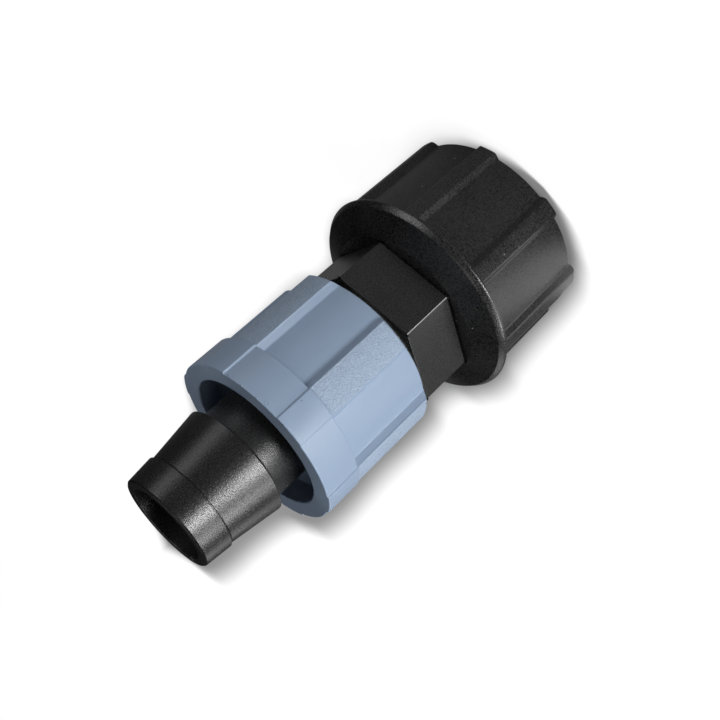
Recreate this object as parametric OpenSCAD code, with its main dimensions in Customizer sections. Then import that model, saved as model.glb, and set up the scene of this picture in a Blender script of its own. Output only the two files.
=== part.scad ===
// Drip tape connector: a moulded connector body with a tape nozzle, a coloured lock nut that
// clamps the tape against the nozzle's base, and a ribbed swivel nut with a female pipe thread.
// The part stands on the open end of the swivel nut, on the Z axis, with the nozzle up.

/* [Swivel nut] */
// Height of the swivel nut from its open end to the land under the hexagon
swivel_h = 22.7; // [20:0.1:28]
// Outside diameter of the barrel at its open end
swivel_barrel_d = 34.3; // [33:0.1:36]
// Growth of the barrel's and ribs' radius from the open end to the rim, for release
swivel_draft = 0.15; // [0.05:0.05:0.4]
// Height that the rim stands out from the barrel
rim_h = 1.7; // [1.5:0.05:3]
// Height of the middle of the rim above the open end
rim_z = 19.9; // [18.5:0.1:20.2]
// Radius of the rim's rounded edge
rim_edge_r = 0.75; // [0.5:0.05:0.9]
// Radius of the fillet between the barrel and the rim
rim_fillet_r = 1.1; // [0.6:0.1:1.4]
// Fall of the dished back face from its land to the rim
dish_fall = 2.0; // [1:0.1:2.4]
// Diameter of the flat land under the hexagon
land_d = 28.2; // [27.9:0.1:30]
// Number of grip ribs
rib_count = 8; // [4:1:12]
// Direction of the first grip rib, in degrees
rib_turn = 31; // [0:1:90]
// Width of a grip rib where it leaves the barrel
rib_foot_w = 4.1; // [3:0.1:6]
// Width of a grip rib at its top
rib_top_w = 2.9; // [2.2:0.1:4]
// Height of a grip rib above the barrel at the open end
rib_h = 1.05; // [0.8:0.05:1.3]
// Radius of the long edges of a grip rib
rib_edge_r = 0.5; // [0.2:0.05:0.7]
// Radius of the fillet at the foot of a grip rib
rib_fillet_r = 0.45; // [0.2:0.05:0.7]
// Chamfer on the outer edge of the open end
swivel_chamfer = 0.35; // [0.1:0.05:0.6]

/* [Pipe thread] */
// Diameter of the female thread at its root, for a three quarter inch pipe thread
pipe_thread_d = 26.44; // [26:0.02:27]
// Length of the female thread from the open end
pipe_thread_h = 14; // [12:0.1:14.2]
// Diameter of the relief above the thread, where the gasket and the tail lie
relief_d = 27; // [26.8:0.1:27.6]
// Depth of the lead-in chamfer at the open end
lead_in = 0.8; // [0.4:0.1:1.2]

/* [Swivel joint] */
// Thickness of the swivel nut's back wall round the neck
back_wall_t = 3; // [2.5:0.1:3.4]
// Diameter of the neck that the swivel nut turns on
neck_d = 19.8; // [18:0.1:21]
// Radial running clearance between the neck and the swivel nut
neck_clearance = 0.08; // [0.04:0.01:0.1]
// Height that the snap collar on the tail stands out from the neck
collar_h = 0.9; // [0.6:0.05:1.2]
// Length of the snap collar on the tail
collar_l = 2.5; // [2:0.1:2.7]
// Play of the swivel nut along the neck, above and below its back wall
swivel_play = 0.25; // [0.15:0.05:0.4]

/* [Gasket] */
// Outside diameter of the gasket
gasket_d = 23.9; // [23:0.1:24]
// Hole of the gasket
gasket_bore_d = 15; // [14:0.1:17]
// Thickness of the gasket
gasket_t = 2.4; // [2:0.1:2.5]
// Radius of the gasket's edges
gasket_edge = 0.2; // [0.1:0.05:0.4]

/* [Hexagon] */
// Distance across the flats of the hexagon
hex_af = 24; // [23:0.1:24]
// Length of the hexagon
hex_l = 9.55; // [8:0.05:12]
// Diameter over the hexagon's slightly blunted corners
hex_corner_d = 27.56; // [27:0.02:27.7]
// Direction of one corner of the hexagon, in degrees
hex_turn = 14.8; // [0:0.1:60]

/* [Coarse thread] */
// Diameter of the coarse thread's root on the body
screw_root_d = 23.6; // [23:0.1:24]
// Diameter of the coarse thread's crests
screw_crest_d = 25; // [24.6:0.1:25.2]
// Pitch of the coarse thread
screw_pitch = 3; // [2.5:0.1:4]
// Number of turns of the coarse thread
screw_turns = 5; // [4:1:5]
// Length of the bare neck between the hexagon and the coarse thread
screw_neck_l = 2.6; // [2:0.1:3]
// Chamfer on the end of the coarse thread
screw_chamfer = 0.5; // [0.3:0.1:0.8]

/* [Tape nozzle] */
// Overall height of the connector from the open end of the swivel nut to the nozzle tip
overall_h = 75.15; // [74:0.05:80]
// Outside diameter of the nozzle at its tip
nozzle_tip_d = 16.6; // [16:0.1:17]
// Outside diameter of the retaining collar at its step
nozzle_step_d = 17.45; // [17:0.05:18]
// Length of the retaining collar
nozzle_step_l = 4.7; // [4:0.1:6]
// Depth of the step behind the retaining collar
nozzle_step_h = 0.32; // [0.15:0.01:0.5]
// Diameter of the nozzle barrel at its base
nozzle_base_d = 19.4; // [18.6:0.1:20]
// Length of the nozzle from its tip to the step at its base
nozzle_l = 13.9; // [12:0.1:14.4]
// Chamfer on the edge of the barrel at the step
base_chamfer = 0.08; // [0.05:0.01:0.3]
// Depth of the neck behind the nozzle below the barrel at its base
shoulder_h = 1.4; // [1:0.05:1.7]
// Radius of the fillet between the neck and the step
shoulder_fillet_r = 0.7; // [0.3:0.1:0.9]
// Diameter of the water way
water_way_d = 13.34; // [12:0.02:14]
// Chamfer on the outer edge of the nozzle tip
tip_chamfer = 0.25; // [0.1:0.05:0.5]
// Width of the gate mark nicked into the rim of the nozzle tip
tip_nick_w = 0.3; // [0.2:0.05:1]
// Depth of the gate mark nicked into the rim of the nozzle tip
tip_nick_h = 0.45; // [0.2:0.05:0.8]
// Direction of the gate mark, in degrees
tip_nick_turn = 155; // [0:1:360]

/* [Lock nut] */
// Length of the lock nut
lock_l = 23.2; // [21:0.1:25]
// Gap between the hexagon and the closed lock nut
lock_gap = 1.4; // [1:0.1:2]
// Diameter of the lock nut's mouth
lock_mouth_d = 24.2; // [23.6:0.1:24.8]
// Radial clearance between the lock nut and the coarse thread's crests
lock_clearance = 0.3; // [0.2:0.05:0.4]
// Distance of the clamping lip inside the lock nut from the end of the coarse thread
lip_gap = 0.4; // [0.2:0.1:0.6]
// Radial clearance between the clamping lip and the nozzle's base, where the tape wall is held
lip_clearance = 0.45; // [0.3:0.05:0.6]
// Length of the clamping lip's straight hole
lip_l = 0.8; // [0.5:0.1:1.2]
// Angle of the clamping lip's funnel from the axis
lip_angle = 45; // [40:1:60]
// Outside diameter of the lock nut between its lugs
lock_floor_d = 28; // [27.6:0.1:29]
// Outside diameter of the lock nut over its lugs
lock_lug_d = 30.4; // [29.8:0.1:31]
// Outside diameter over the lugs on the collar
collar_lug_d = 30.9; // [30.5:0.1:31.6]
// Outside diameter of the collar between its lugs, at its shoulder
collar_shoulder_d = 30.2; // [29:0.1:30.4]
// Outside diameter of the collar between its lugs, at the mouth
collar_mouth_d = 30.3; // [29.8:0.1:30.5]
// Length of the collar at the mouth
lock_collar_l = 6.6; // [5:0.1:9]
// Number of lugs
lug_count = 6; // [4:1:8]
// Direction of the first lug, in degrees
lug_turn = 21.4; // [0:0.1:60]
// Width of a lug at its top
lug_top_w = 5.3; // [4:0.1:7]
// Draft on each side of a lug, in degrees
lug_side_draft = 20; // [5:1:30]
// Radius of the fillet at the foot of a lug
lug_fillet_r = 0.35; // [0.15:0.05:0.5]
// Length of the slope on the back end of the lugs
lug_end_slope = 0.8; // [0.4:0.1:1.5]
// Chamfer on the sharp outer edges of the lock nut
lock_chamfer = 0.15; // [0.05:0.05:0.3]
// Chamfer on the lock nut's bore at its back end
lock_bore_chamfer = 0.5; // [0.2:0.1:0.8]

/* [Hidden] */

// Fineness of round shapes, and how far a cutting shape reaches past what it cuts
$fn = 128;
past = 1;

// Diameter of the rim
rim_d = swivel_barrel_d + 2 * (swivel_draft + rim_h);

// Heights of the swivel joint
wall_under_z = swivel_h - back_wall_t;
collar_top_z = wall_under_z - swivel_play;
tail_z = collar_top_z - collar_l;
gasket_z = tail_z - gasket_t;
neck_bore_d = neck_d + 2 * neck_clearance;
collar_d = neck_d + 2 * collar_h;

// Heights of the body
hex_z = swivel_h + swivel_play;
hex_top_z = hex_z + hex_l;
screw_z = hex_top_z + screw_neck_l;
screw_top_z = screw_z + screw_turns * screw_pitch;
nozzle_z = overall_h - nozzle_l;
nozzle_step_z = overall_h - nozzle_step_l;

// Heights of the lock nut
lock_z = hex_top_z + lock_gap;
lock_top_z = lock_z + lock_l;
shoulder_z = lock_top_z - lock_collar_l;
lock_bore_d = screw_crest_d + 2 * lock_clearance;

// The clamping lip hangs inside the lock nut above the coarse thread. It is a straight hole and
// a funnel that opens towards the mouth.
lip_z = screw_top_z + lip_gap;
lip_d = nozzle_base_d + 2 * lip_clearance;
funnel_z = lip_z + lip_l;
funnel_top_z = funnel_z + (lock_mouth_d - lip_d) / 2 / tan(lip_angle);

// The neck behind the nozzle, up to where its fillet begins
neck_r = nozzle_base_d / 2 - shoulder_h;
neck_top_z = nozzle_z - shoulder_fillet_r;

// One hexagonal bar with blunted corners
module hex_bar(z, length) {
    translate([0, 0, z])
        intersection() {
            rotate([0, 0, hex_turn])
                cylinder(d = hex_af / cos(30), h = length, $fn = 6);
            cylinder(d = hex_corner_d, h = length);
        }
}

// The body's tail: snap collar, neck and the core of the hexagon
module tail_profile() {
    polygon([
        [0, tail_z],
        [neck_d / 2 - 0.2 * collar_h, tail_z],
        [collar_d / 2, tail_z + 0.6 * collar_l],
        [collar_d / 2, collar_top_z],
        [neck_d / 2, collar_top_z],
        [neck_d / 2, hex_z + past],
        [0, hex_z + past]
    ]);
}

// The root of the coarse thread and the neck behind the nozzle
module screw_profile() {
    polygon([
        [0, hex_top_z - past],
        [screw_root_d / 2, hex_top_z - past],
        [screw_root_d / 2, screw_top_z - screw_chamfer],
        [screw_root_d / 2 - screw_chamfer, screw_top_z],
        [neck_r, screw_top_z],
        [neck_r, neck_top_z],
        [0, neck_top_z]
    ]);
}

// The fillet between the neck and the step at the base of the nozzle barrel
module shoulder_profile() {
    centre_r = neck_r + shoulder_fillet_r;
    difference() {
        translate([0, neck_top_z])
            square([centre_r, shoulder_fillet_r]);
        translate([centre_r, neck_top_z])
            circle(r = shoulder_fillet_r);
    }
}

// The nozzle barrel and its retaining collar
module nozzle_profile() {
    step_foot_r = nozzle_step_d / 2 - nozzle_step_h;
    polygon([
        [0, nozzle_z],
        [nozzle_base_d / 2 - base_chamfer, nozzle_z],
        [nozzle_base_d / 2, nozzle_z + base_chamfer],
        [step_foot_r, nozzle_step_z - nozzle_step_h / 2],
        [nozzle_step_d / 2, nozzle_step_z],
        [nozzle_tip_d / 2, overall_h - tip_chamfer],
        [nozzle_tip_d / 2 - tip_chamfer, overall_h],
        [0, overall_h]
    ]);
}

module connector_body() {
    color([0.1, 0.1, 0.1])
        difference() {
            union() {
                rotate_extrude() {
                    tail_profile();
                    screw_profile();
                    shoulder_profile();
                    nozzle_profile();
                }
                hex_bar(hex_z, hex_l);
            }
            translate([0, 0, tail_z - past])
                cylinder(d = water_way_d, h = overall_h - tail_z + 2 * past);
            rotate([0, 0, tip_nick_turn])
                translate([0, -tip_nick_w / 2, overall_h - tip_nick_h])
                    cube([nozzle_tip_d, tip_nick_w, tip_nick_h + past]);
        }
}

// Section of one rib or lug, seen along the Z axis and lying across the X axis. Its sides slope
// in by the angle draft, and a fillet joins each foot to a round wall of radius floor_r. edge_r
// rounds the corners at its flat top at top_x.
module rib_section(floor_r, top_x, foot_w, draft, fillet_r, edge_r) {
    foot = [sqrt(floor_r * floor_r - foot_w * foot_w / 4), foot_w / 2];
    out = [sin(draft), cos(draft)];
    along = [cos(draft), -sin(draft)];
    // Centre of the fillet, which touches the side and the wall
    near = foot + fillet_r * out;
    reach = floor_r + fillet_r;
    slide = sqrt((near * along) * (near * along) - near * near + reach * reach) - near * along;
    centre = near + slide * along;
    side_touch = centre - fillet_r * out;
    wall_touch = centre * floor_r / reach;
    // Centre of the rounded corner, which touches the side and the top
    corner_x = top_x - edge_r;
    corner = [corner_x, foot.y - (corner_x - foot.x) * tan(draft) - edge_r / cos(draft)];
    corner_touch = corner + edge_r * out;
    for (side = [-1, 1])
        mirror([0, side < 0 ? 1 : 0]) {
            polygon([
                [floor_r - past, 0],
                [top_x, 0],
                [top_x, corner.y],
                corner_touch,
                side_touch,
                [floor_r - past, side_touch.y]
            ]);
            translate(corner)
                circle(r = edge_r, $fn = 48);
            difference() {
                polygon([
                    side_touch,
                    centre,
                    wall_touch,
                    wall_touch - past * [1, 0],
                    [floor_r - past, side_touch.y]
                ]);
                translate(centre)
                    circle(r = fillet_r, $fn = 48);
            }
        }
}

// Outer form of the swivel nut without its ribs: drafted barrel, rim and dished back
module swivel_profile() {
    barrel_r = swivel_barrel_d / 2;
    barrel_top_r = barrel_r + swivel_draft;
    edge_in = rim_d / 2 - rim_edge_r;
    rim_under_z = rim_z - rim_edge_r;
    polygon([
        [0, 0],
        [barrel_r - swivel_chamfer, 0],
        [barrel_r, swivel_chamfer],
        [barrel_top_r, rim_under_z],
        [edge_in, rim_under_z],
        [edge_in, swivel_h - dish_fall],
        [land_d / 2, swivel_h],
        [0, swivel_h]
    ]);
    translate([edge_in, rim_z])
        circle(r = rim_edge_r);
    difference() {
        translate([barrel_r, rim_under_z - rim_fillet_r])
            square([edge_in - barrel_r, rim_fillet_r + rim_edge_r]);
        translate([barrel_top_r + rim_fillet_r, rim_under_z - rim_fillet_r])
            circle(r = rim_fillet_r);
    }
}

// All the grip ribs, tilted outwards by the draft and chamfered at the open end
module grip_ribs() {
    top_r = swivel_barrel_d / 2 + rib_h;
    side_draft = atan((rib_foot_w - rib_top_w) / 2 / rib_h);
    intersection() {
        for (i = [0:rib_count - 1])
            rotate([0, 0, rib_turn + i * 360 / rib_count])
                rotate([0, atan(swivel_draft / rim_z), 0])
                    translate([0, 0, -past])
                        linear_extrude(rim_z + past)
                            rib_section(
                                swivel_barrel_d / 2, top_r, rib_foot_w,
                                side_draft, rib_fillet_r, rib_edge_r
                            );
        rotate_extrude()
            polygon([
                [0, 0],
                [top_r - swivel_chamfer, 0],
                [rim_d / 2, rim_d / 2 - top_r + swivel_chamfer],
                [rim_d / 2, rim_z],
                [0, rim_z]
            ]);
    }
}

// Everything that is hollow in the swivel nut: lead-in, thread, relief and neck bore
module swivel_bore() {
    lead_d = pipe_thread_d + 2 * lead_in;
    translate([0, 0, -past])
        cylinder(d = pipe_thread_d, h = pipe_thread_h + past);
    translate([0, 0, -past])
        cylinder(d1 = lead_d + 2 * past, d2 = pipe_thread_d, h = lead_in + past);
    translate([0, 0, pipe_thread_h])
        cylinder(d = relief_d, h = wall_under_z - pipe_thread_h);
    cylinder(d = neck_bore_d, h = swivel_h + past);
}

module swivel_nut() {
    color([0.1, 0.1, 0.1])
        difference() {
            union() {
                rotate_extrude()
                    swivel_profile();
                grip_ribs();
            }
            swivel_bore();
        }
}

// The flat sealing ring that lies against the end of the tail
module gasket() {
    outer_r = gasket_d / 2;
    bore_r = gasket_bore_d / 2;
    color([0.08, 0.08, 0.08])
        rotate_extrude()
            polygon([
                [bore_r, gasket_z],
                [outer_r - gasket_edge, gasket_z],
                [outer_r, gasket_z + gasket_edge],
                [outer_r, tail_z - gasket_edge],
                [outer_r - gasket_edge, tail_z],
                [bore_r, tail_z]
            ]);
}

// The lock nut's round wall and the tapered collar at its mouth
module lock_wall_profile() {
    floor_r = lock_floor_d / 2;
    mouth_r = collar_mouth_d / 2;
    polygon([
        [0, lock_z],
        [floor_r - lock_chamfer, lock_z],
        [floor_r, lock_z + lock_chamfer],
        [floor_r, shoulder_z],
        [collar_shoulder_d / 2, shoulder_z],
        [mouth_r, lock_top_z - lock_chamfer],
        [mouth_r - lock_chamfer, lock_top_z],
        [0, lock_top_z]
    ]);
}

// How far out the lugs reach: sloped at the back end, and a little prouder on the collar
module lug_reach_profile() {
    lug_r = lock_lug_d / 2;
    collar_lug_r = collar_lug_d / 2;
    polygon([
        [0, lock_z],
        [lock_floor_d / 2 - lock_chamfer, lock_z],
        [lug_r, lock_z + lug_end_slope],
        [lug_r, shoulder_z],
        [collar_lug_r, shoulder_z],
        [collar_lug_r, lock_top_z - lock_chamfer],
        [collar_lug_r - lock_chamfer, lock_top_z],
        [0, lock_top_z]
    ]);
}

module lugs() {
    floor_r = lock_floor_d / 2;
    lug_foot_w = lug_top_w + (lock_lug_d - lock_floor_d) * tan(lug_side_draft);
    intersection() {
        for (i = [0:lug_count - 1])
            rotate([0, 0, lug_turn + i * 360 / lug_count])
                translate([0, 0, lock_z])
                    linear_extrude(lock_l)
                        rib_section(
                            floor_r, collar_lug_d / 2 + past, lug_foot_w,
                            lug_side_draft, lug_fillet_r, lug_fillet_r
                        );
        rotate_extrude()
            lug_reach_profile();
    }
}

// Everything that is hollow in the lock nut: threaded bore, clamping lip with its funnel, mouth
// and back chamfer
module lock_bore() {
    back_d = lock_bore_d + 2 * lock_bore_chamfer;
    translate([0, 0, lock_z - past])
        cylinder(d = lock_bore_d, h = lip_z - lock_z + past);
    translate([0, 0, lip_z - past])
        cylinder(d = lip_d, h = lip_l + 2 * past);
    translate([0, 0, funnel_z])
        cylinder(d1 = lip_d, d2 = lock_mouth_d, h = funnel_top_z - funnel_z);
    translate([0, 0, funnel_top_z])
        cylinder(d = lock_mouth_d, h = lock_top_z - funnel_top_z + past);
    translate([0, 0, lock_z - past])
        cylinder(d1 = back_d + 2 * past, d2 = lock_bore_d, h = lock_bore_chamfer + past);
}

module lock_nut() {
    color([0.47, 0.57, 0.71])
        difference() {
            union() {
                rotate_extrude()
                    lock_wall_profile();
                lugs();
            }
            lock_bore();
        }
}

connector_body();
lock_nut();
swivel_nut();
gasket();
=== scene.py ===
import math

import bmesh
import bpy
from mathutils import Matrix, Vector


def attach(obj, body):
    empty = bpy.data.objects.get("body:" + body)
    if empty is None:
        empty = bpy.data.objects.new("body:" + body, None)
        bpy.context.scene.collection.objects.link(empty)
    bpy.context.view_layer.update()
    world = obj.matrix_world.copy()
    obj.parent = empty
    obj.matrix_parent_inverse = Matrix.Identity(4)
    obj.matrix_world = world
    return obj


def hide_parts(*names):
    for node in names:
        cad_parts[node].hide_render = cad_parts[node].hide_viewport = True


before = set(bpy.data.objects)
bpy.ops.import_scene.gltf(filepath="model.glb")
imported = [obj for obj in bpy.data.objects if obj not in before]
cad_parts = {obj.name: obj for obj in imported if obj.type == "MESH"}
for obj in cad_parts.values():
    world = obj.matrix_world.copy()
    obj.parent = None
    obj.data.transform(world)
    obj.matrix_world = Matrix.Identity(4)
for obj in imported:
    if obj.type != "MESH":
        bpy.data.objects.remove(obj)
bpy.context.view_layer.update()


# Connector body: one black polypropylene moulding with the tape nozzle, its retaining collar, the
# step and filleted waist behind it, the root of the coarse thread, and at the lower end the neck
# and snap collar that the swivel nut runs on. Round all over, so it is turned from one outline.
MM = 0.001
BORE_R = 6.67
TAIL_Z = 16.95
SNAP_R = 10.8
SNAP_TOP_Z = 19.45
NECK_R = 9.9
CORE_Z = 31
ROOT_R = 11.8
ROOT_TOP_Z = 50.1
WAIST_R = 8.3
WAIST_FILLET_R = 0.7
NOZZLE_Z = 61.25
NOZZLE_R = 9.7
COLLAR_Z = 70.45
COLLAR_R = 8.725
TIP_Z = 75.15
TIP_R = 8.3
NICK_TURN = 154.3
NICK_H = 0.4


def start_piece(name):
    """Leaves a new, empty mesh object of that name in edit mode."""
    bpy.ops.object.select_all(action="DESELECT")
    bpy.ops.mesh.primitive_plane_add(size=MM, location=(0, 0, 0))
    piece = bpy.context.active_object
    piece.name = name
    piece.data.name = name
    bpy.ops.object.mode_set(mode="EDIT")
    bpy.ops.mesh.delete(type="VERT")
    return piece


def draw(points):
    """Draws a line through the points by extruding one vertex along it."""
    bpy.ops.mesh.select_mode(type="VERT")
    bpy.ops.mesh.select_all(action="DESELECT")
    bpy.ops.mesh.primitive_plane_add(size=0.1 * MM, location=points[0])
    bpy.ops.mesh.merge(type="CENTER")
    for here, there in zip(points, points[1:]):
        bpy.ops.mesh.extrude_region_move(TRANSFORM_OT_translate={"value": there - here})


def finish_piece(piece, smooth=38):
    """Closes the skin, turns its faces outwards and shades it as one moulding."""
    bpy.ops.mesh.select_all(action="SELECT")
    bpy.ops.mesh.remove_doubles(threshold=0.002 * MM)
    bpy.ops.mesh.normals_make_consistent(inside=False)
    bpy.ops.object.mode_set(mode="OBJECT")
    bpy.ops.object.select_all(action="DESELECT")
    piece.select_set(True)
    bpy.context.view_layer.objects.active = piece
    bpy.ops.object.shade_smooth_by_angle(angle=math.radians(smooth))
    weighted = piece.modifiers.new("Weighted normals", "WEIGHTED_NORMAL")
    weighted.keep_sharp = True
    weighted.weight = 80
    bpy.ops.object.modifier_apply(modifier=weighted.name)
    return piece


def eased(corners, steps=4):
    """Outline in the XZ plane from corners (radius, height, edge radius) in mm."""
    points = []
    for i, (x, z, ease) in enumerate(corners):
        here = Vector((x, 0, z))
        before = corners[i - 1]
        after = corners[(i + 1) % len(corners)]
        if ease == 0:
            points.append(here * MM)
            continue
        back = (Vector((before[0], 0, before[1])) - here).normalized()
        ahead = (Vector((after[0], 0, after[1])) - here).normalized()
        half = back.angle(ahead) / 2
        centre = here + (back + ahead).normalized() * ease / math.sin(half)
        first = here + back * ease / math.tan(half) - centre
        last = here + ahead * ease / math.tan(half) - centre
        turn = math.pi - 2 * half
        for k in range(steps + 1):
            t = k / steps
            p = math.sin((1 - t) * turn) * first + math.sin(t * turn) * last
            points.append((centre + p / math.sin(turn)) * MM)
    return points


def turned(name, outline, steps=192):
    """A ring-shaped piece, made by spinning a closed outline round the Z axis."""
    piece = start_piece(name)
    draw(outline + outline[:1])
    bpy.ops.mesh.select_all(action="SELECT")
    bpy.ops.mesh.spin(steps=steps, angle=2 * math.pi, center=(0, 0, 0), axis=(0, 0, 1))
    return finish_piece(piece)


def arc(centre, radius, start, end, steps=8):
    """Corners (radius, height, 0) on an arc in the XZ plane, between two angles in degrees."""
    turns = [math.radians(start + (end - start) * k / steps) for k in range(steps + 1)]
    return [
        (centre[0] + radius * math.cos(t), centre[1] + radius * math.sin(t), 0) for t in turns
    ]


body_outline = eased([
    (BORE_R, TAIL_Z, 0.2),
    (NECK_R - 0.18, TAIL_Z, 0.15),
    (SNAP_R, TAIL_Z + 1.5, 0.4),
    (SNAP_R, SNAP_TOP_Z, 0.12),
    (NECK_R, SNAP_TOP_Z, 0.08),
    (NECK_R, CORE_Z, 0),
    (ROOT_R, CORE_Z, 0),
    (ROOT_R, ROOT_TOP_Z - 0.5, 0.2),
    (ROOT_R - 0.5, ROOT_TOP_Z, 0.2),
    (WAIST_R, ROOT_TOP_Z, 0.4),
] + arc((WAIST_R + WAIST_FILLET_R, NOZZLE_Z - WAIST_FILLET_R), WAIST_FILLET_R, 180, 90) + [
    (NOZZLE_R, NOZZLE_Z, 0.08),
    (8.415, COLLAR_Z - 0.31, 0),
    (8.24, COLLAR_Z - 0.25, 0),
    (8.24, COLLAR_Z - 0.15, 0),
    (8.40, COLLAR_Z - 0.12, 0),
    (COLLAR_R, COLLAR_Z, 0.07),
    (TIP_R, TIP_Z - 0.25, 0.12),
    (TIP_R - 0.25, TIP_Z, 0.1),
    (BORE_R, TIP_Z, 0.09),
])
body = turned("connector_body_moulding", body_outline, 224)

# The gate was broken off here and left a nick in the rim of the tip
bpy.ops.object.mode_set(mode="EDIT")
bpy.ops.mesh.select_mode(type="VERT")
bpy.ops.mesh.select_all(action="DESELECT")
mesh = bmesh.from_edit_mesh(body.data)
for vert in mesh.verts:
    turn = math.degrees(math.atan2(vert.co.y, vert.co.x))
    if vert.co.z > (TIP_Z - 0.45) * MM and abs(turn - NICK_TURN) < 0.3:
        vert.select_set(True)
bmesh.update_edit_mesh(body.data)
bpy.ops.transform.translate(value=(0, 0, -NICK_H * MM))
bpy.ops.object.mode_set(mode="OBJECT")
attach(body, "connector")
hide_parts("connector_body")


def new_material(name):
    """An empty procedural material: its nodes, its links and its shader."""
    material = bpy.data.materials.new(name)
    material.use_nodes = True
    nodes = material.node_tree.nodes
    return material, nodes, material.node_tree.links, nodes["Principled BSDF"]


def noise(nodes, links, coords, scale, detail=3, rough=0.55):
    """A noise pattern of so many waves to the metre."""
    node = nodes.new("ShaderNodeTexNoise")
    node.inputs["Scale"].default_value = scale
    node.inputs["Detail"].default_value = detail
    node.inputs["Roughness"].default_value = rough
    links.new(coords, node.inputs["Vector"])
    return node.outputs["Fac"]


def ramp(nodes, links, value, low, high, out_low, out_high):
    """The value stretched from low..high to out_low..out_high, and held there."""
    node = nodes.new("ShaderNodeMapRange")
    node.inputs["From Min"].default_value = low
    node.inputs["From Max"].default_value = high
    node.inputs["To Min"].default_value = out_low
    node.inputs["To Max"].default_value = out_high
    links.new(value, node.inputs["Value"])
    return node.outputs["Result"]


def maths(nodes, links, kind, *values):
    """One sum on the values, each a number or another node's output."""
    node = nodes.new("ShaderNodeMath")
    node.operation = kind
    for socket, value in zip(node.inputs, values):
        if isinstance(value, (int, float)):
            socket.default_value = value
        else:
            links.new(value, socket)
    return node.outputs["Value"]


def bump(nodes, links, height, distance, strength, under=None):
    """Raises the surface by the height pattern, over an earlier bump if there is one."""
    node = nodes.new("ShaderNodeBump")
    node.inputs["Distance"].default_value = distance
    node.inputs["Strength"].default_value = strength
    links.new(height, node.inputs["Height"])
    if under is not None:
        links.new(under, node.inputs["Normal"])
    return node.outputs["Normal"]


def blend_colour(nodes, links, amount, first, second):
    """A colour between two, each a colour or another node's output, by the amount."""
    node = nodes.new("ShaderNodeMix")
    node.data_type = "RGBA"
    links.new(amount, node.inputs["Factor"])
    for socket, colour in ((node.inputs["A"], first), (node.inputs["B"], second)):
        if isinstance(colour, tuple):
            socket.default_value = colour + (1,)
        else:
            links.new(colour, socket)
    return node.outputs["Result"]


HIGHLIGHT_CORNER_R = 13.77
HIGHLIGHT_FRONT_Y = -12.4
body_black, nodes, links, shader = new_material("body_black")
place = nodes.new("ShaderNodeTexCoord").outputs["Object"]
pits = ramp(nodes, links, noise(nodes, links, place, 3800, 2), 0.30, 0.44, 0, 1)
grain = noise(nodes, links, place, 7000, 2, 0.5)
cloud = noise(nodes, links, place, 160, 3)
tone = maths(nodes, links, "ADD", grain, maths(nodes, links, "MULTIPLY", cloud, 0.2))
tone = ramp(nodes, links, tone, 0.48, 0.72, 0, 1)
colour = blend_colour(nodes, links, tone, (0.009, 0.009, 0.0092), (0.024, 0.024, 0.0245))

# Painted highlight: a pale line along the hexagon's front corner, where it catches the light
apart = nodes.new("ShaderNodeSeparateXYZ")
links.new(place, apart.inputs["Vector"])
flat = nodes.new("ShaderNodeCombineXYZ")
links.new(apart.outputs["X"], flat.inputs["X"])
links.new(apart.outputs["Y"], flat.inputs["Y"])
radius = nodes.new("ShaderNodeVectorMath")
radius.operation = "LENGTH"
links.new(flat.outputs["Vector"], radius.inputs["Vector"])
painted_highlight = ramp(nodes, links, radius.outputs["Value"], HIGHLIGHT_CORNER_R * MM, (HIGHLIGHT_CORNER_R + 0.01) * MM, 0, 1)
front = ramp(nodes, links, apart.outputs["Y"], HIGHLIGHT_FRONT_Y * MM, (HIGHLIGHT_FRONT_Y - 0.2) * MM, 0, 1)
painted_highlight = maths(nodes, links, "MULTIPLY", painted_highlight, front)
colour = blend_colour(nodes, links, painted_highlight, colour, (0.6, 0.6, 0.59))

links.new(colour, shader.inputs["Base Color"])
links.new(ramp(nodes, links, tone, 0, 1, 0.25, 0.31), shader.inputs["Roughness"])
shader.inputs["Specular IOR Level"].default_value = 0.6
normal = bump(nodes, links, pits, 0.00002, 0.4)
normal = bump(nodes, links, grain, 0.00002, 1, normal)
links.new(normal, shader.inputs["Normal"])
body.data.materials.append(body_black)


# Hexagon of the body: a 24 mm spanner grip moulded round the core, with its six corners slightly
# rounded and its ends square. Its hole lies inside the wall of the core.
HEX_FLATS = 24
HEX_L = 9.55
HEX_Z = 22.95
HEX_TURN = 14.8
HEX_MIDDLE_Z = HEX_Z + HEX_L / 2
bpy.ops.object.select_all(action="DESELECT")
bpy.ops.mesh.primitive_cylinder_add(
    vertices=6, radius=HEX_FLATS / 2 / math.cos(math.radians(30)) * MM, depth=HEX_L * MM,
    location=(0, 0, HEX_MIDDLE_Z * MM), rotation=(0, 0, math.radians(HEX_TURN - 30)),
    end_fill_type="NGON",
)
hexagon = bpy.context.active_object
hexagon.name = "hexagon_grip"
bpy.ops.object.transform_apply(location=True, rotation=True, scale=True)
bpy.ops.object.mode_set(mode="EDIT")


def select_where(piece, kind, test):
    """Selects the edges or faces of the piece whose middle and direction pass the test."""
    bpy.ops.mesh.select_all(action="DESELECT")
    bpy.ops.mesh.select_mode(type="EDGE" if kind == "edges" else "FACE")
    mesh = bmesh.from_edit_mesh(piece.data)
    for item in getattr(mesh, kind):
        if kind == "edges":
            middle = (item.verts[0].co + item.verts[1].co) / 2
            way = (item.verts[1].co - item.verts[0].co).normalized()
        else:
            middle = item.calc_center_median()
            way = item.normal
        if test(middle / MM, way):
            item.select_set(True)
    mesh.select_flush_mode()
    bmesh.update_edit_mesh(piece.data)


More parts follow.
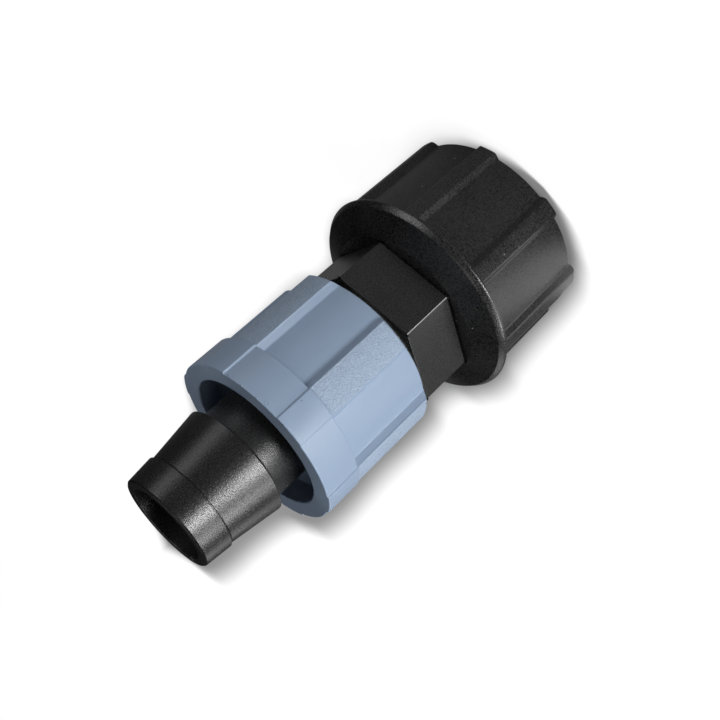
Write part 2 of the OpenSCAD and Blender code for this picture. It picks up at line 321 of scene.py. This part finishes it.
select_where(hexagon, "faces", lambda middle, way: abs(way.z) > 0.9)
bpy.ops.mesh.inset(thickness=3.7 * MM)
bpy.ops.mesh.bridge_edge_loops()
select_where(
    hexagon, "edges",
    lambda middle, way: abs(way.z) > 0.9 and middle.xy.length > HEX_FLATS / 2,
)
bpy.ops.mesh.bevel(offset=0.26 * MM, segments=4, profile=0.5)
select_where(
    hexagon, "edges",
    lambda middle, way: (
        abs(abs(middle.z - HEX_MIDDLE_Z) - HEX_L / 2) < 0.01
        and middle.xy.length > HEX_FLATS / 2 - 0.5
    ),
)
bpy.ops.mesh.bevel(offset=0.15 * MM, segments=3, profile=0.5)
finish_piece(hexagon, 40)
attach(hexagon, "connector")
hexagon.data.materials.append(body_black)


# Coarse thread of the body: four right-hand turns of 3 mm pitch, rounded and blunt, moulded on the
# root above the hexagon. The lock nut runs on it, so it shows only when the nut is unscrewed.
SCREW_PITCH = 3
SCREW_Z = 36.2


def thread(name, section, low, pitch, turns, fade):
    """A helical ridge of that section (radius, height), in mm, whose ends fade into the wall."""
    piece = start_piece(name)
    points = [Vector((r, 0, low + z)) * MM for r, z in section]
    draw(points + points[:1])
    bpy.ops.mesh.select_all(action="SELECT")
    bpy.ops.mesh.remove_doubles(threshold=0.002 * MM)
    bpy.ops.object.mode_set(mode="OBJECT")
    screw = piece.modifiers.new("Thread", "SCREW")
    screw.angle = 2 * math.pi * turns
    screw.screw_offset = pitch * turns * MM
    screw.steps = round(96 * turns)
    screw.render_steps = screw.steps
    screw.use_merge_vertices = False
    bpy.ops.object.modifier_apply(modifier=screw.name)
    bpy.ops.object.mode_set(mode="EDIT")
    bpy.ops.mesh.select_mode(type="EDGE")
    bpy.ops.mesh.select_all(action="DESELECT")
    bpy.ops.mesh.select_non_manifold()
    bpy.ops.mesh.edge_face_add()
    rings = len(piece.data.vertices) // len(section)
    for end in (0, 1):
        for k in range(24):
            ring = k if end == 0 else rings - 1 - k
            pull = fade * (1 - k / 24) ** 2
            bpy.ops.mesh.select_all(action="DESELECT")
            bpy.ops.mesh.select_mode(type="VERT")
            mesh = bmesh.from_edit_mesh(piece.data)
            mesh.verts.ensure_lookup_table()
            members = [mesh.verts[ring * len(section) + j] for j in range(len(section))]
            for vert in members:
                vert.select_set(True)
            bmesh.update_edit_mesh(piece.data)
            far = max(vert.co.xy.length for vert in members)
            factor = 1 - pull * MM / far
            bpy.ops.transform.resize(
                value=(factor, factor, 1), center_override=(0, 0, members[0].co.z),
            )
    return finish_piece(piece, 50)


body_thread = thread(
    "coarse_thread",
    [(11.6, -1.15), (11.78, -1.05), (12.4, -0.45), (12.5, -0.3), (12.5, 0.3), (12.4, 0.45),
     (11.78, 1.05), (11.6, 1.15)],
    low=SCREW_Z, pitch=SCREW_PITCH, turns=4.2, fade=0.85,
)
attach(body_thread, "connector")
body_thread.data.materials.append(body_black)


# Gasket: a flat black rubber ring that lies against the end of the tail inside the swivel nut and
# seals the pipe thread. It is held only by the nut, and its edges are slightly rounded.
GASKET_R = 11.95
GASKET_HOLE_R = 7.5
GASKET_Z = 14.55
gasket = turned("gasket_ring", eased([
    (GASKET_HOLE_R, GASKET_Z, 0.15),
    (GASKET_R, GASKET_Z, 0.2),
    (GASKET_R, TAIL_Z, 0.2),
    (GASKET_HOLE_R, TAIL_Z, 0.15),
]), 128)
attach(gasket, "connector")
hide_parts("gasket")
rubber, nodes, links, shader = new_material("gasket_rubber")
place = nodes.new("ShaderNodeTexCoord").outputs["Object"]
cloud = noise(nodes, links, place, 700, 4)
links.new(
    blend_colour(nodes, links, cloud, (0.022, 0.022, 0.022), (0.036, 0.036, 0.035)),
    shader.inputs["Base Color"],
)
links.new(ramp(nodes, links, cloud, 0.3, 0.7, 0.62, 0.8), shader.inputs["Roughness"])
links.new(bump(nodes, links, cloud, 0.00004, 0.4), shader.inputs["Normal"])
gasket.data.materials.append(rubber)


# Swivel nut: a black polypropylene nut with eight grip ribs that run into its rim, a dished back
# against the hexagon, and a three quarter inch pipe thread inside. Each rib is a rounded trapezoid.
BARREL_R = 17.15
RIM_R = 19
RIM_Z = 19.16
LAND_Z = 22.7
WALL_Z = 19.7
NECK_HOLE_R = 9.98
RELIEF_R = 13.5
PIPE_ROOT_R = 13.22
RIB_COUNT = 8
RIB_TURN = 31
PIPE_PITCH = 1.814


def section(z, floor, top, half_foot, draft, foot_floor, fillet, edge, middle, half_sector):
    """Points across one sector at height z, over a rib or lug, from gap middle to gap middle.

    Lengths are in mm and angles in degrees. The rib's sides lean in by the draft and leave the
    circle of radius foot_floor at half_foot from its middle.
    """
    if top - floor < 0.02:
        step = 2 * half_sector / 32
        turns = [middle - half_sector + step * k for k in range(33)]
        return [
            Vector((floor * math.cos(math.radians(t)), floor * math.sin(math.radians(t)), z)) * MM
            for t in turns
        ]
    fillet = min(fillet, 0.45 * (top - floor))
    edge = min(edge, 0.45 * (top - floor))
    foot = Vector((math.sqrt(foot_floor ** 2 - half_foot ** 2), half_foot))
    out = Vector((math.sin(math.radians(draft)), math.cos(math.radians(draft))))
    along = Vector((out.y, -out.x))

    def touching(offset, reach):
        near = foot + out * offset
        part = near.dot(along)
        return near + along * (math.sqrt(part ** 2 - near.length_squared + reach ** 2) - part)

    half = []
    edge_centre = touching(-edge, top - edge)
    start = math.atan2(edge_centre.y, edge_centre.x)
    for k in range(4):
        half.append(Vector((math.cos(start * k / 4), math.sin(start * k / 4))) * top)
    side = math.atan2(out.y, out.x)
    for k in range(5):
        turn = start + (side - start) * k / 4
        half.append(edge_centre + Vector((math.cos(turn), math.sin(turn))) * edge)
    fillet_centre = touching(fillet, floor + fillet)
    wall = math.atan2(fillet_centre.y, fillet_centre.x)
    for k in range(4):
        turn = side + math.pi + (wall - side) * k / 3
        half.append(fillet_centre + Vector((math.cos(turn), math.sin(turn))) * fillet)
    last = math.radians(half_sector)
    for k in range(1, 5):
        turn = wall + (last - wall) * k / 4
        half.append(Vector((math.cos(turn), math.sin(turn))) * floor)
    whole = [Vector((p.x, -p.y)) for p in reversed(half[1:])] + half
    spin = Matrix.Rotation(math.radians(middle), 2)
    return [Vector((*(spin @ p), z)) * MM for p in whole]


def ribbed(name, chains, sectors):
    """Bridges the chains of one sector into a skin, closes it and repeats it round the axis."""
    piece = start_piece(name)
    for chain in chains:
        draw(chain)
    size = len(chains[0])
    for k in range(len(chains)):
        pair = {k, (k + 1) % len(chains)}
        bpy.ops.mesh.select_all(action="DESELECT")
        mesh = bmesh.from_edit_mesh(piece.data)
        for i, vert in enumerate(mesh.verts):
            if i // size in pair:
                vert.select_set(True)
        mesh.select_flush(True)
        bmesh.update_edit_mesh(piece.data)
        bpy.ops.mesh.bridge_edge_loops()
    bpy.ops.mesh.select_all(action="SELECT")
    bpy.ops.mesh.spin(
        steps=sectors - 1, angle=2 * math.pi * (sectors - 1) / sectors, dupli=True,
        use_auto_merge=False, center=(0, 0, 0), axis=(0, 0, 1),
    )
    return finish_piece(piece)


def swivel_section(z, floor, top):
    """One height of the swivel nut's sector, over a grip rib."""
    return section(
        z, floor, top, half_foot=2.05, draft=29.7, foot_floor=BARREL_R, fillet=0.45, edge=0.5,
        middle=RIB_TURN, half_sector=180 / RIB_COUNT,
    )


# Height, radius between the ribs and radius over a rib: rounded end, straight walls, then the
# fillet that runs out into the rim
swivel_rows = [
    (0.00, 16.88, 17.88),
    (0.06, 17.02, 18.02),
    (0.18, 17.12, 18.14),
    (0.40, 17.155, 18.20),
    (6.00, 17.195, 18.243),
    (12.0, 17.24, 18.288),
    (18.05, 17.30, 18.336),
    (18.30, 17.33, 18.338),
    (18.55, 17.42, 18.340),
    (18.75, 17.54, 18.342),
    (18.92, 17.73, 18.345),
    (19.04, 17.93, 18.350),
    (19.10, 18.08, 18.355),
]

# Radius and height of what is round all over: rim, dish, land, neck bore, relief and thread root
swivel_rounds = [
    (18.37, RIM_Z), (18.62, 19.20), (18.84, 19.32), (18.96, 19.48), (RIM_R, 19.66),
    (18.97, 19.82), (18.88, 19.98), (18.36, 20.66), (18.24, 20.76), (18.08, 20.82),
    (14.28, 22.61), (14.20, 22.65), (14.1, 22.69), (14.0, LAND_Z),
    (10.15, LAND_Z), (10.03, 22.65), (NECK_HOLE_R, 22.53),
    (NECK_HOLE_R, 19.85), (10.03, 19.74), (10.15, WALL_Z),
    (13.2, WALL_Z), (13.4, 19.62), (RELIEF_R, 19.4), (RELIEF_R, 14.0), (PIPE_ROOT_R, 13.8),
    (PIPE_ROOT_R, 0.8), (14.0, 0.05), (14.1, 0.0),
]
chains = [swivel_section(*row) for row in swivel_rows]
chains += [swivel_section(z, r, r) for r, z in swivel_rounds]
swivel = ribbed("swivel_nut_moulding", chains, RIB_COUNT)
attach(swivel, "swivel_nut")
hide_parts("swivel_nut")

pipe_thread = thread(
    "pipe_thread",
    [(13.4, -0.88), (PIPE_ROOT_R, -0.82), (12.2, -0.17), (12.06, 0), (12.2, 0.17),
     (PIPE_ROOT_R, 0.82), (13.4, 0.88)],
    low=1.9, pitch=PIPE_PITCH, turns=6.4, fade=-1.2,
)
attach(pipe_thread, "swivel_nut")

swivel_black, nodes, links, shader = new_material("swivel_black")
place = nodes.new("ShaderNodeTexCoord").outputs["Object"]
grain = noise(nodes, links, place, 5000, 2, 0.5)
cloud = noise(nodes, links, place, 140, 3)
tone = maths(nodes, links, "ADD", grain, maths(nodes, links, "MULTIPLY", cloud, 0.2))
tone = ramp(nodes, links, tone, 0.48, 0.72, 0, 1)
colour = blend_colour(nodes, links, tone, (0.001, 0.001, 0.001), (0.026, 0.026, 0.026))
specks = nodes.new("ShaderNodeTexVoronoi")
specks.inputs["Scale"].default_value = 420
links.new(place, specks.inputs["Vector"])
dust = ramp(nodes, links, specks.outputs["Distance"], 0.04, 0.06, 1, 0)
picked = nodes.new("ShaderNodeSeparateColor")
links.new(specks.outputs["Color"], picked.inputs["Color"])
rare = ramp(nodes, links, picked.outputs["Red"], 0.80, 0.81, 0, 1)
dust = maths(nodes, links, "MULTIPLY", dust, rare)
colour = blend_colour(nodes, links, dust, colour, (0.35, 0.35, 0.34))
links.new(colour, shader.inputs["Base Color"])
links.new(ramp(nodes, links, tone, 0, 1, 0.26, 0.40), shader.inputs["Roughness"])
shader.inputs["Specular IOR Level"].default_value = 0.7
links.new(bump(nodes, links, grain, 0.00003, 1), shader.inputs["Normal"])
swivel.data.materials.append(swivel_black)
pipe_thread.data.materials.append(swivel_black)


# Lock nut: blue-grey acetal, with six lugs to turn it by and a proud, tapered collar at its mouth.
# A lip inside it presses the tape on the nozzle's base. Lug tops are spark-eroded, the rest smooth.
LUG_COUNT = 6
LUG_TURN = 21.4
NUT_FLOOR_R = 14
NUT_Z = 33.9
NUT_TOP_Z = 57.1
NUT_BORE_R = 12.8
MOUTH_R = 12.1
LIP_R = 10.15
SHOULDER_Z = 50.5


def nut_section(z, floor, top):
    """One height of the lock nut's sector, over a lug."""
    return section(
        z, floor, top, half_foot=3.087, draft=20, foot_floor=NUT_FLOOR_R, fillet=0.35, edge=0.16,
        middle=LUG_TURN, half_sector=180 / LUG_COUNT,
    )


# Height, radius between the lugs and radius over a lug: back end with the lugs' slope, straight
# walls, the shoulder of the collar and the rounded mouth
nut_rows = [
    (33.90, 13.80, 13.80),
    (33.93, 13.90, 13.96),
    (34.02, 13.98, 14.10),
    (34.10, 14.00, 14.24),
    (34.52, 14.00, 14.93),
    (34.68, 14.00, 15.12),
    (34.90, 14.00, 15.20),
    (50.36, 14.00, 15.20),
    (50.45, 14.03, 15.205),
    (50.50, 14.12, 15.22),
    (50.505, 14.92, 15.33),
    (50.52, 15.02, 15.40),
    (50.60, 15.09, 15.44),
    (50.72, 15.10, 15.45),
    (56.88, 15.145, 15.45),
    (56.98, 15.13, 15.43),
    (57.06, 15.08, 15.38),
    (57.10, 15.00, 15.29),
]

# Radius and height of what is round all over: mouth, funnel, clamping lip and threaded bore
nut_rounds = [
    (12.36, NUT_TOP_Z), (12.24, 57.07), (12.14, 56.98), (MOUTH_R, 56.85),
    (MOUTH_R, 53.35), (12.07, 53.22), (10.2, 51.36), (LIP_R, 51.25),
    (LIP_R, 50.6), (10.25, SHOULDER_Z), (12.5, SHOULDER_Z), (12.72, 50.42),
    (NUT_BORE_R, 50.2), (NUT_BORE_R, 34.42), (13.28, 33.93), (13.36, NUT_Z),
]
chains = [nut_section(*row) for row in nut_rows]
chains += [nut_section(z, r, r) for r, z in nut_rounds]
lock_nut = ribbed("lock_nut_moulding", chains, LUG_COUNT)
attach(lock_nut, "lock_nut")
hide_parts("lock_nut")

nut_thread = thread(
    "lock_nut_thread",
    [(12.95, 1.1), (NUT_BORE_R, 1.02), (12.22, 0.42), (12.14, 0.3), (12.14, -0.3),
     (12.22, -0.42), (NUT_BORE_R, -1.02), (12.95, -1.1)],
    low=SCREW_Z + SCREW_PITCH / 2, pitch=SCREW_PITCH, turns=3.85, fade=-0.72,
)
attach(nut_thread, "lock_nut")

nut_blue, nodes, links, shader = new_material("nut_blue_grey")
place = nodes.new("ShaderNodeTexCoord").outputs["Object"]
cloud = noise(nodes, links, place, 120, 3)
colour = blend_colour(nodes, links, cloud, (0.280, 0.365, 0.495), (0.310, 0.402, 0.540))
axes = nodes.new("ShaderNodeSeparateXYZ")
links.new(place, axes.inputs["Vector"])
turn = maths(nodes, links, "ARCTAN2", axes.outputs["Y"], axes.outputs["X"])
turn = maths(nodes, links, "SUBTRACT", turn, math.radians(LUG_TURN))
lug = maths(nodes, links, "PINGPONG", turn, math.radians(180 / LUG_COUNT))
on_lug = ramp(nodes, links, lug, math.radians(9.4), math.radians(10.4), 1, 0)
below = ramp(nodes, links, axes.outputs["Z"], (SHOULDER_Z - 0.2) * MM, SHOULDER_Z * MM, 1, 0)
on_lug = maths(nodes, links, "MULTIPLY", on_lug, below)
spark = noise(nodes, links, place, 4200, 2, 0.6)
fine = noise(nodes, links, place, 5000, 2)
lift = maths(nodes, links, "MULTIPLY", spark, on_lug)
specks = nodes.new("ShaderNodeTexVoronoi")
specks.inputs["Scale"].default_value = 230
links.new(place, specks.inputs["Vector"])
picked = nodes.new("ShaderNodeSeparateColor")
links.new(specks.outputs["Color"], picked.inputs["Color"])
dirt = ramp(nodes, links, specks.outputs["Distance"], 0.025, 0.045, 0.7, 0)
rare = ramp(nodes, links, picked.outputs["Red"], 0.72, 0.73, 0, 1)
dirt = maths(nodes, links, "MULTIPLY", dirt, rare)
# The lug tops are paler where spark-eroded, and the fine flecks on them are painted glints
glint = ramp(nodes, links, spark, 0.36, 0.66, 0.1, 1.1)
glint = maths(nodes, links, "MULTIPLY", glint, on_lug)
colour = blend_colour(nodes, links, glint, colour, (0.42, 0.52, 0.67))
colour = blend_colour(nodes, links, dirt, colour, (0.05, 0.09, 0.16))
links.new(colour, shader.inputs["Base Color"])
links.new(ramp(nodes, links, on_lug, 0, 1, 0.34, 0.42), shader.inputs["Roughness"])
normal = bump(nodes, links, lift, 0.00025, 1)
normal = bump(nodes, links, fine, 0.00002, 1, normal)
links.new(normal, shader.inputs["Normal"])
shader.inputs["Subsurface Weight"].default_value = 0.08
shader.inputs["Subsurface Radius"].default_value = (0.0006, 0.0007, 0.0009)
shader.inputs["Subsurface Scale"].default_value = 1
lock_nut.data.materials.append(nut_blue)
nut_thread.data.materials.append(nut_blue)


# Small moulding marks at the lock nut's mouth: a raised ring no wider than a pinhead, and three
# beads of flash along the outer edge.
RING_TURN = 280.2


def on_nut(radius, turn, height):
    """A place on the lock nut, from a radius and height in mm and a direction in degrees."""
    angle = math.radians(turn)
    return Vector((radius * math.cos(angle), radius * math.sin(angle), height)) * MM


marks = []
beads = [("flash_a", 307.8, 56.86), ("flash_b", 297.6, 56.93), ("flash_c", 286.2, 56.95)]
for name, turn, height in beads:
    bpy.ops.object.select_all(action="DESELECT")
    bpy.ops.mesh.primitive_uv_sphere_add(
        segments=16, ring_count=8, radius=0.19 * MM, location=on_nut(15.09, turn, height),
    )
    marks.append((name, bpy.context.active_object))
bpy.ops.object.select_all(action="DESELECT")
bpy.ops.mesh.primitive_torus_add(
    major_radius=0.3 * MM, minor_radius=0.07 * MM, major_segments=24, minor_segments=8,
    location=on_nut(15.15, RING_TURN, 56.6),
    rotation=(math.radians(90), 0, math.radians(RING_TURN + 90)),
)
marks.append(("mark_ring", bpy.context.active_object))
for name, mark in marks:
    mark.name = name
    mark.data.name = name
    bpy.ops.object.select_all(action="DESELECT")
    mark.select_set(True)
    bpy.context.view_layer.objects.active = mark
    bpy.ops.object.transform_apply(location=True, rotation=True, scale=True)
    bpy.ops.object.shade_smooth()
    mark.data.materials.append(nut_blue)
    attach(mark, "lock_nut")


# Camera: the photograph's viewing angle, from in front and above, rolled so that the axis of the
# part runs from the upper right to the lower left. The focal length fits the concentric edges and,
# like the picture's width, is in thousands of pixels.
FOCAL = 1.04054
PICTURE_W = 0.720
across = Vector((-0.67975, -0.30416, -0.66740))
upward = Vector((0.73344, -0.28189, -0.61854))
backward = Vector((0, -0.90996, 0.41470))
eye = Vector((-1.617, -151.702, 104.007)) * MM
lens = bpy.data.cameras.new("camera")
lens.sensor_width = 36
lens.lens = lens.sensor_width * FOCAL / PICTURE_W
lens.clip_start = 0.005
camera = bpy.data.objects.new("camera", lens)
bpy.context.scene.collection.objects.link(camera)
facing = Matrix((across, upward, backward)).transposed()
camera.matrix_world = Matrix.Translation(eye) @ facing.to_4x4()
bpy.context.scene.camera = camera
bpy.context.scene.view_settings.view_transform = "Standard"


# Floor and surroundings: a plain pale floor that runs out to a white horizon. The camera sees both
# as white, with a painted soft shadow that lies close along the lower right of the part, and with
# painted shade round the foot. The dark part mirrors a patch of floor on its left that glows for
# reflections only, a painted reflection.
bpy.ops.object.select_all(action="DESELECT")
bpy.ops.mesh.primitive_plane_add(size=6, location=(0, 0, 0))
floor = bpy.context.active_object
floor.name = "floor"
floor_white, nodes, links, shader = new_material("floor_white")
shader.inputs["Base Color"].default_value = (0.5, 0.5, 0.5, 1)
shader.inputs["Roughness"].default_value = 0.9
shader.inputs["Emission Color"].default_value = (1, 1, 1, 1)
path = nodes.new("ShaderNodeLightPath").outputs
axes = nodes.new("ShaderNodeSeparateXYZ")
links.new(nodes.new("ShaderNodeTexCoord").outputs["Object"], axes.inputs["Vector"])

# Where a place on the floor lies in the picture: beside the part's axis, and along it
rise = backward.cross(Vector((1, 0, 0)))
depth = maths(nodes, links, "MULTIPLY_ADD", axes.outputs["Y"], -backward.y, backward.dot(eye))
side = maths(nodes, links, "DIVIDE", axes.outputs["X"], depth)
side = maths(nodes, links, "MULTIPLY", side, -FOCAL)
along = maths(nodes, links, "MULTIPLY_ADD", axes.outputs["Y"], -rise.y, rise.dot(eye))
along = maths(nodes, links, "DIVIDE", along, depth)
along = ramp(nodes, links, along, -0.300 / FOCAL, 0.300 / FOCAL, 0, 1)

# Place along the axis, and how far the painted shadow reaches beside it there, in pixels
shadow_reach = [
    (-290, -40), (-272, -8), (-262, 20), (-250, 57), (-180, 64), (-165, 68), (-150, 88),
    (-138, 100), (-60, 97), (10, 95), (35, 85), (62, 105), (90, 115), (110, 108), (200, 97),
    (220, 86), (235, 65), (250, 25), (262, -50),
]
shadow_curve = nodes.new("ShaderNodeFloatCurve")
curve = shadow_curve.mapping.curves[0]
for step, reach in shadow_reach:
    curve.points.new((step + 300) / 600, (reach + 50) / 200)
curve.points[0].location = (0, 0)
curve.points[-1].location = (1, 0)
shadow_curve.mapping.update()
links.new(along, shadow_curve.inputs["Value"])
width = maths(nodes, links, "MULTIPLY_ADD", shadow_curve.outputs["Value"], 0.200, -0.050)
right = maths(nodes, links, "SUBTRACT", side, width)
left = maths(nodes, links, "SUBTRACT", maths(nodes, links, "MULTIPLY", side, -1), width)
left = maths(nodes, links, "ADD", left, 0.017)
far = maths(nodes, links, "MAXIMUM", right, left)
shade = ramp(nodes, links, far, 0.030, -0.008, 0, 0.80)
shade.node.interpolation_type = "SMOOTHSTEP"

# The camera sees the floor white but for the painted shadow and the painted shade round the foot
foot = nodes.new("ShaderNodeAmbientOcclusion")
foot.inputs["Distance"].default_value = 0.006
foot_shade = ramp(nodes, links, foot.outputs["AO"], 0.35, 0.95, 0.8, 1)
seen = ramp(nodes, links, axes.outputs["Y"], 0.06, 0.30, 0.86, 1)
seen = maths(nodes, links, "SUBTRACT", seen, shade)
seen = maths(nodes, links, "MULTIPLY", seen, foot_shade)
seen = maths(nodes, links, "MULTIPLY", seen, path["Is Camera Ray"])

# Painted reflection: the floor glows in a patch on the left, seen only in what the dark part
# mirrors
turn = maths(nodes, links, "ARCTAN2", axes.outputs["X"], axes.outputs["Y"])
start = ramp(nodes, links, turn, math.radians(-150), math.radians(-134), 0, 1)
stop = ramp(nodes, links, turn, math.radians(-112), math.radians(-96), 1, 0)
bright_side = maths(nodes, links, "MULTIPLY", start, stop)
glare = maths(nodes, links, "MULTIPLY", path["Is Glossy Ray"], bright_side)
links.new(maths(nodes, links, "ADD", seen, glare), shader.inputs["Emission Strength"])
floor.data.materials.append(floor_white)

world = bpy.data.worlds.new("pale_room")
bpy.context.scene.world = world
world.use_nodes = True
nodes, links = world.node_tree.nodes, world.node_tree.links
back = nodes["Background"]
back.inputs["Color"].default_value = (1, 1, 1, 1)
links.new(nodes.new("ShaderNodeLightPath").outputs["Is Camera Ray"], back.inputs["Strength"])


# Lamps: the key stands low at the front left of the part, with a second one beside it, and five
# weak fills stand round and above it, as in a small product studio with a dark ceiling. A card on
# the floor shows only where the part mirrors it, and lights the fillet behind the nozzle.
MIDDLE = (0, 0, 0.04)


def lamp(name, place, aim, size, height, power):
    """A soft rectangular lamp at a place, turned to a point that it is aimed at."""
    light = bpy.data.lights.new(name, "AREA")
    light.shape = "RECTANGLE"
    light.size = size
    light.size_y = height
    light.energy = power
    holder = bpy.data.objects.new(name, light)
    bpy.context.scene.collection.objects.link(holder)
    direction = Vector(aim) - Vector(place)
    holder.location = place
    holder.rotation_euler = direction.to_track_quat("-Z", "Y").to_euler()
    return holder


lamp("lamp_key", (-0.241, -0.319, 0.026), MIDDLE, 0.15, 0.08, 1.26)
lamp("lamp_side", (-0.382, -0.101, 0.100), MIDDLE, 0.15, 0.10, 0.58)
lamp("lamp_high", (-0.106, -0.184, 0.379), MIDDLE, 0.16, 0.16, 0.13)
lamp("lamp_back", (0.0, 0.212, 0.379), MIDDLE, 0.16, 0.16, 0.21)
lamp("lamp_left", (-0.326, 0.228, 0.082), MIDDLE, 0.16, 0.16, 0.13)
lamp("lamp_right", (0.300, -0.173, 0.240), MIDDLE, 0.16, 0.16, 0.31)
lamp("lamp_low_right", (0.344, -0.199, 0.082), MIDDLE, 0.16, 0.16, 0.12)
card = lamp("lamp_card", (-0.125, -0.150, 0.001), (-0.125, -0.150, 1), 0.09, 0.09, 0.09)
card.visible_camera = False
card.visible_diffuse = False
